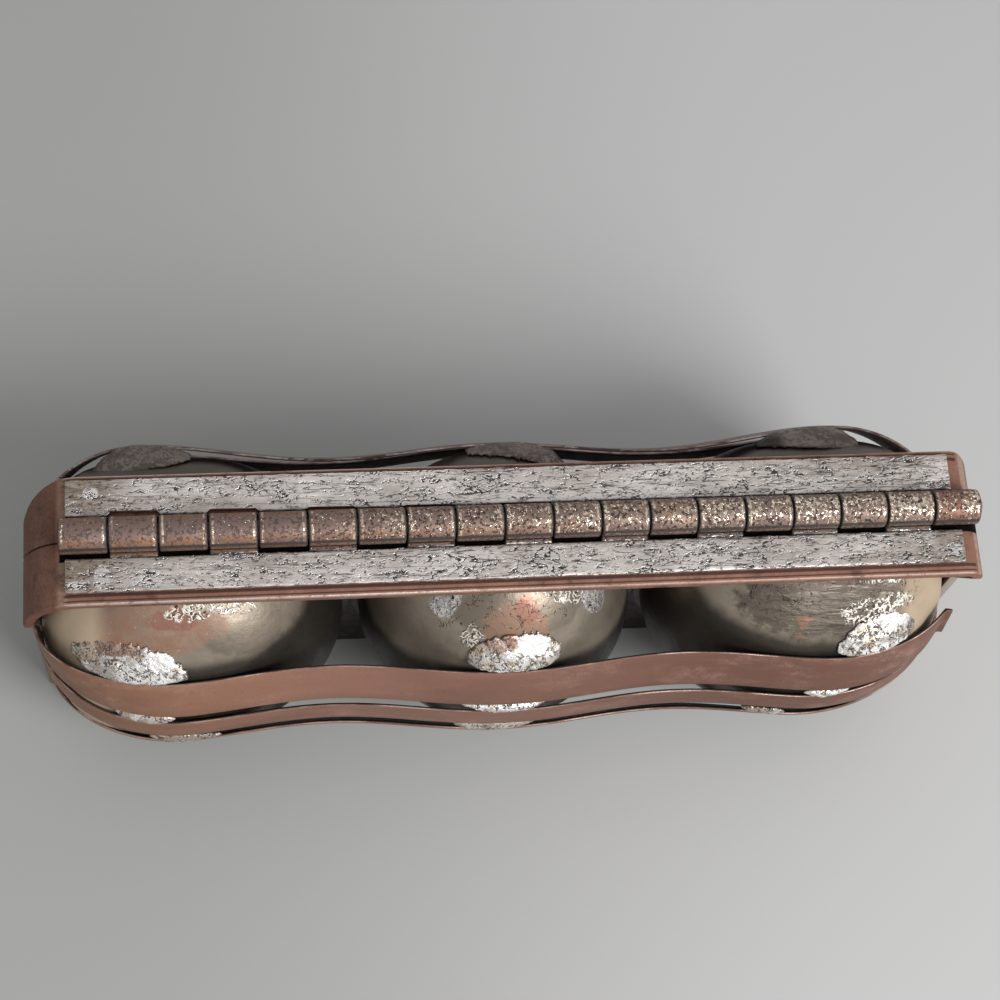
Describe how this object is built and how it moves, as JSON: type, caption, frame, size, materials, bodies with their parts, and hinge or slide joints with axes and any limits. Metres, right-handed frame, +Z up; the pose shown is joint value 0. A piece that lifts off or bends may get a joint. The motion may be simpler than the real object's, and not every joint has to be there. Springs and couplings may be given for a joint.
{
  "type": "hinged chocolate mould",
  "caption": "Hinged tinned-steel chocolate mould: strap-braced pressed egg shells in flat-bar frames that close face to face under a rolled-knuckle hinge.",
  "frame": {"origin": "centre of the footprint, on the surface that the mould stands on", "axes": "+X along the hinge to the right, +Y from the front half to the rear half, +Z up from the open edge to the hinge"},
  "size_m": [0.253, 0.0811, 0.0997],
  "materials": {
    "frame_steel": "worn tin over brown rusted steel",
    "strap_steel": "copper-brown rusted steel",
    "leaf_tin": "crazed grey tin",
    "shell_tin": "dull yellow-grey tin with brown patches",
    "solder": "rough bright solder",
    "pin_steel": "bronze-brown worn steel"
  },
  "bodies": {
    "rear_half": {"rear_frame": "frame_steel", "rear_plate": "shell_tin", "rear_shell_left": "shell_tin", "rear_shell_centre": "shell_tin", "rear_shell_right": "shell_tin", "rear_strap_upper": "strap_steel", "rear_strap_middle": "strap_steel", "rear_strap_lower": "strap_steel", "rear_hinge_leaf": "leaf_tin", "rear_solder_upper_left": "solder", "rear_solder_upper_centre": "solder", "rear_solder_upper_right": "solder", "rear_solder_middle_left": "solder", "rear_solder_middle_centre": "solder", "rear_solder_middle_right": "solder", "rear_solder_lower_left": "solder", "rear_solder_lower_centre": "solder", "rear_solder_lower_right": "solder", "hinge_pin": "pin_steel"},
    "front_half": {"front_frame": "frame_steel", "front_plate": "shell_tin", "front_shell_left": "shell_tin", "front_shell_centre": "shell_tin", "front_shell_right": "shell_tin", "front_strap_upper": "strap_steel", "front_strap_middle": "strap_steel", "front_strap_lower": "strap_steel", "front_hinge_leaf": "leaf_tin", "front_solder_upper_left": "solder", "front_solder_upper_centre": "solder", "front_solder_upper_right": "solder", "front_solder_middle_left": "solder", "front_solder_middle_centre": "solder", "front_solder_middle_right": "solder", "front_solder_lower_left": "solder", "front_solder_lower_centre": "solder", "front_solder_lower_right": "solder"}
  },
  "joints": [
    {"name": "mould_hinge", "type": "hinge", "parent": "rear_half", "child": "front_half", "pos_m": [0, 0, 0.095], "axis": [-1, 0, 0], "range_deg": [0, 180]}
  ]
}
